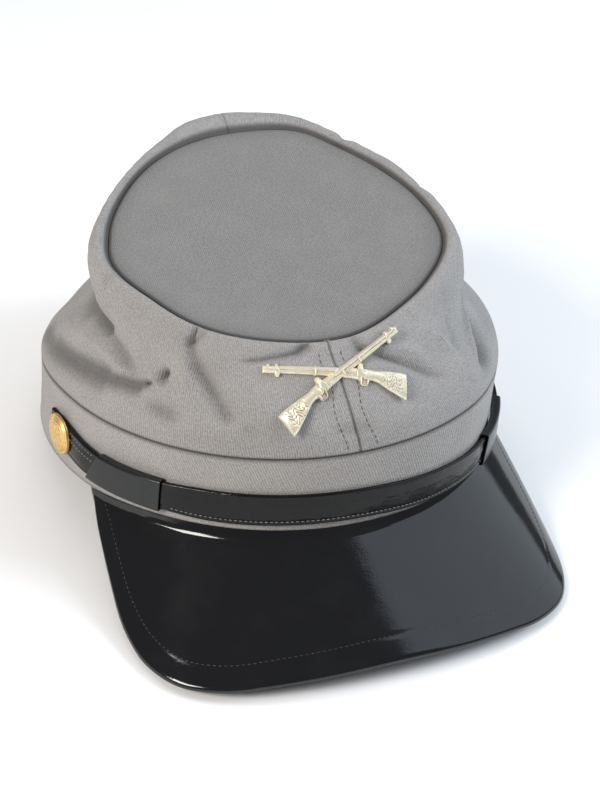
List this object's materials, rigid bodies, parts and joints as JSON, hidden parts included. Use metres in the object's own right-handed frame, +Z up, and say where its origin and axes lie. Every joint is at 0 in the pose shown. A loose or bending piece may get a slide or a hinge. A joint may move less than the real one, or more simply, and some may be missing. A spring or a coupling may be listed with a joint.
{
  "type": "forage cap",
  "caption": "Soft round-topped cloth forage cap with a stiff curved peak, chin strap, side buttons and a crossed muskets badge.",
  "frame": {"origin": "middle of the cap's bounding box in plan, on the surface that it stands on", "axes": "+Z up, +Y towards the back of the cap, -Y towards the peak, +X towards the wearer's left"},
  "size_m": [0.1898, 0.2454, 0.1185],
  "materials": {
    "band_twill": "grey cotton twill",
    "side_twill": "grey cotton twill",
    "top_twill": "grey cotton twill, drawn flat",
    "peak_patent": "glossy black patent",
    "strap_patent": "glossy black patent",
    "keeper_patent": "satin black patent",
    "button_brass": "stamped brass",
    "badge_gold": "pale gold cast metal"
  },
  "bodies": {
    "root": {"band": "band_twill", "crown_side": "side_twill", "crown_top": "top_twill", "peak": "peak_patent", "chin_strap": "strap_patent", "keeper_right": "keeper_patent", "keeper_left": "keeper_patent", "button_right": "button_brass", "button_left": "button_brass", "badge": "badge_gold"}
  },
  "joints": []
}
